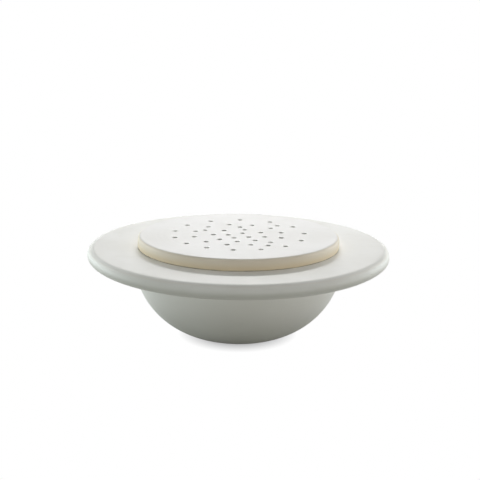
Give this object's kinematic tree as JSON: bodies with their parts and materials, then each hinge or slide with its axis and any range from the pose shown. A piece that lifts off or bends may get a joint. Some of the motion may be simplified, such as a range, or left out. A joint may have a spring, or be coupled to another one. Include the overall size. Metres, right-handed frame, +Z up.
{
  "type": "flower frog",
  "caption": "Footed ceramic bowl with a wide soft-edged rim and a lift-off pierced lid whose small holes hold flower stems upright in water.",
  "frame": {"origin": "centre of the foot, on the surface that the bowl stands on", "axes": "+Z up along the axis of the bowl and the lid; +X and +Y across the rim, with the viewer on the -Y side"},
  "size_m": [0.254, 0.254, 0.087],
  "materials": {
    "bowl_glaze": "soft satin off-white glaze",
    "lid_glaze": "soft satin off-white glaze, thinner and warmer on the upright edge"
  },
  "bodies": {
    "bowl": {"bowl": "bowl_glaze"},
    "lid": {"lid": "lid_glaze"}
  },
  "joints": [
    {"name": "lid_lift", "type": "slide", "parent": "bowl", "child": "lid", "axis": [0, 0, 1], "range_m": [0, 0.1]}
  ]
}
